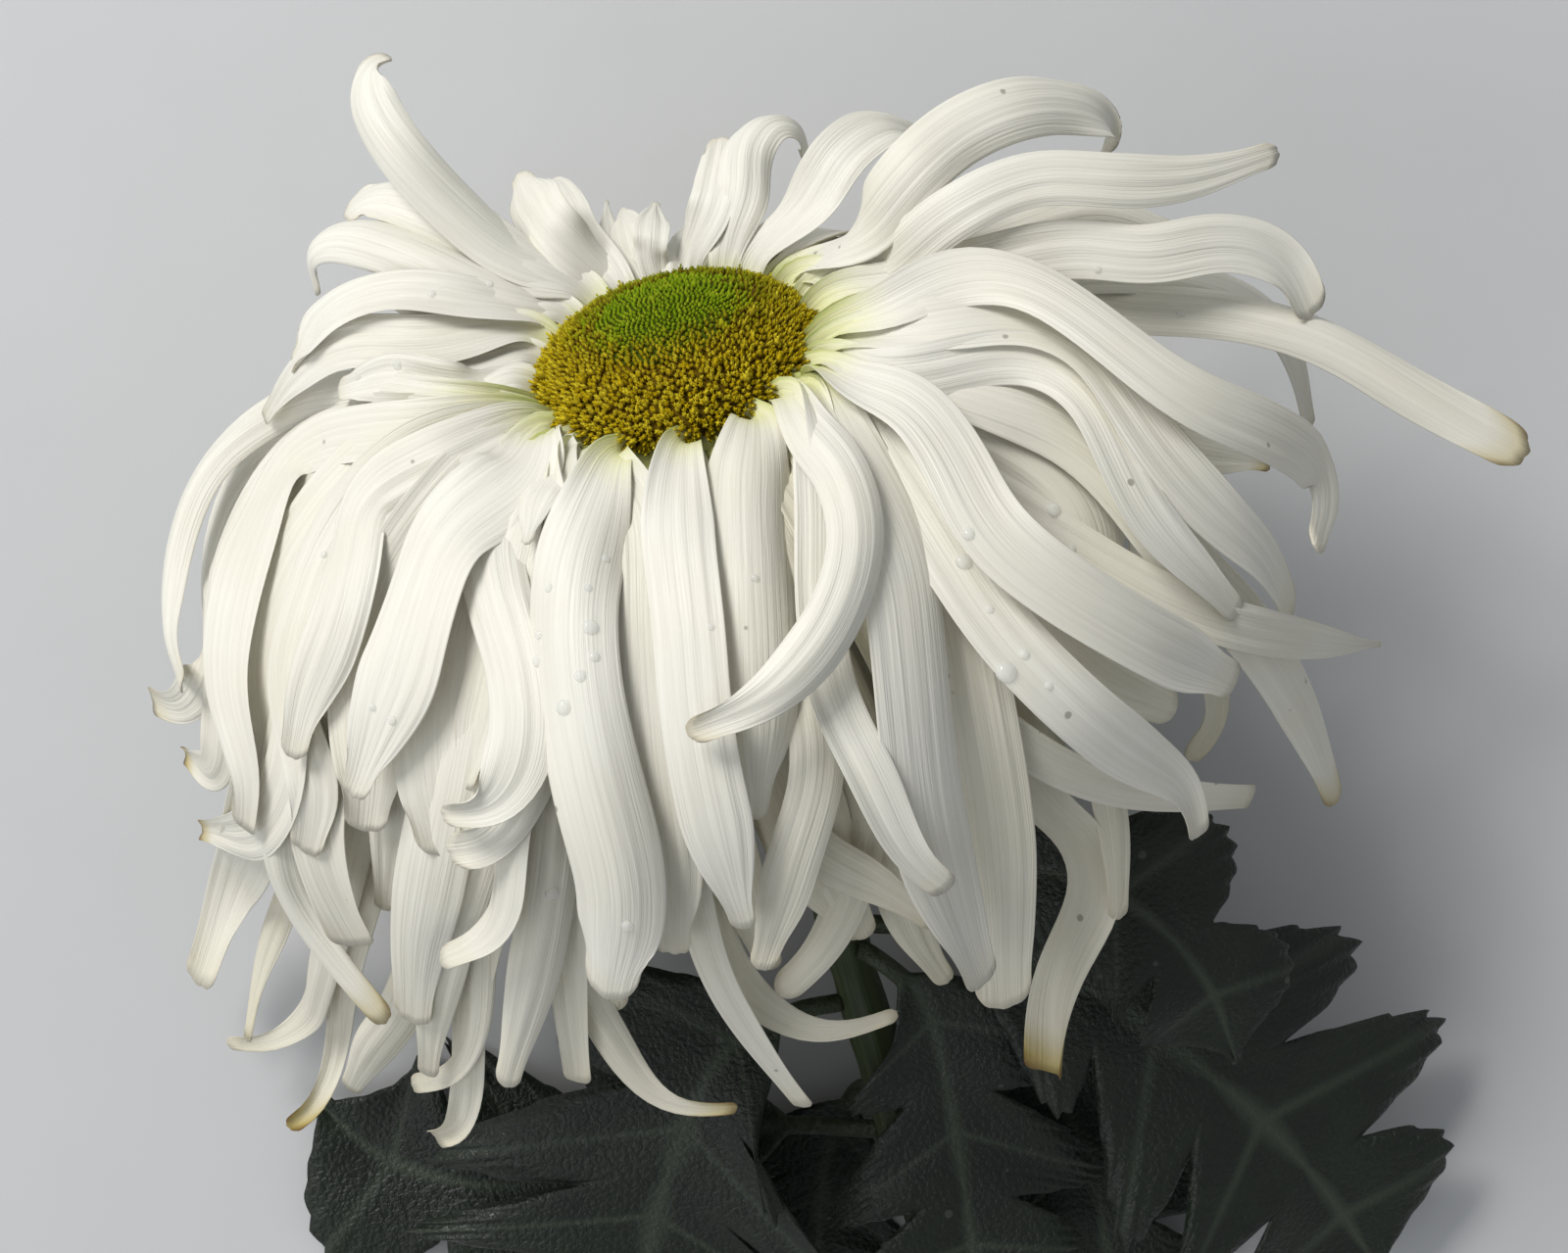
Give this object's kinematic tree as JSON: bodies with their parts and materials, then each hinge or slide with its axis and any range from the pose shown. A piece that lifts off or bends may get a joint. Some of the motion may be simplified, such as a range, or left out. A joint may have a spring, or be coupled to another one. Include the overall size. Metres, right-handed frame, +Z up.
{
  "type": "cut chrysanthemum flower",
  "caption": "Cut white chrysanthemum laid on its side: open yellow disc, long drooping strap petals, short bowed stem and lobed dark leaves.",
  "frame": {"origin": "on the surface the flower lies on, below the middle of the flower's bounding box", "axes": "+Z up from the surface, the stem runs towards -Y and ends there, the bloom faces +Z leaning back along +Y, +X to the right of the bloom"},
  "size_m": [0.1908, 0.2216, 0.1036],
  "materials": {
    "petal": "soft white, faintly ribbed, slightly waxy",
    "pollen_yellow": "mustard yellow packed florets, dull",
    "bud_green": "yellow-green closed buds, dull",
    "leaf_green": "very dark green, matt, veined",
    "stem_green": "green, ribbed, downy"
  },
  "bodies": {
    "root": {"ray_florets": "petal", "disc_florets": "pollen_yellow", "disc_buds": "bud_green", "involucre": "stem_green", "stem": "stem_green", "leaf_centre": "leaf_green", "leaf_middle": "leaf_green", "leaf_right": "leaf_green", "leaf_upper_right": "leaf_green", "leaf_left": "leaf_green", "leaf_under": "leaf_green", "leaf_front": "leaf_green"}
  },
  "joints": []
}
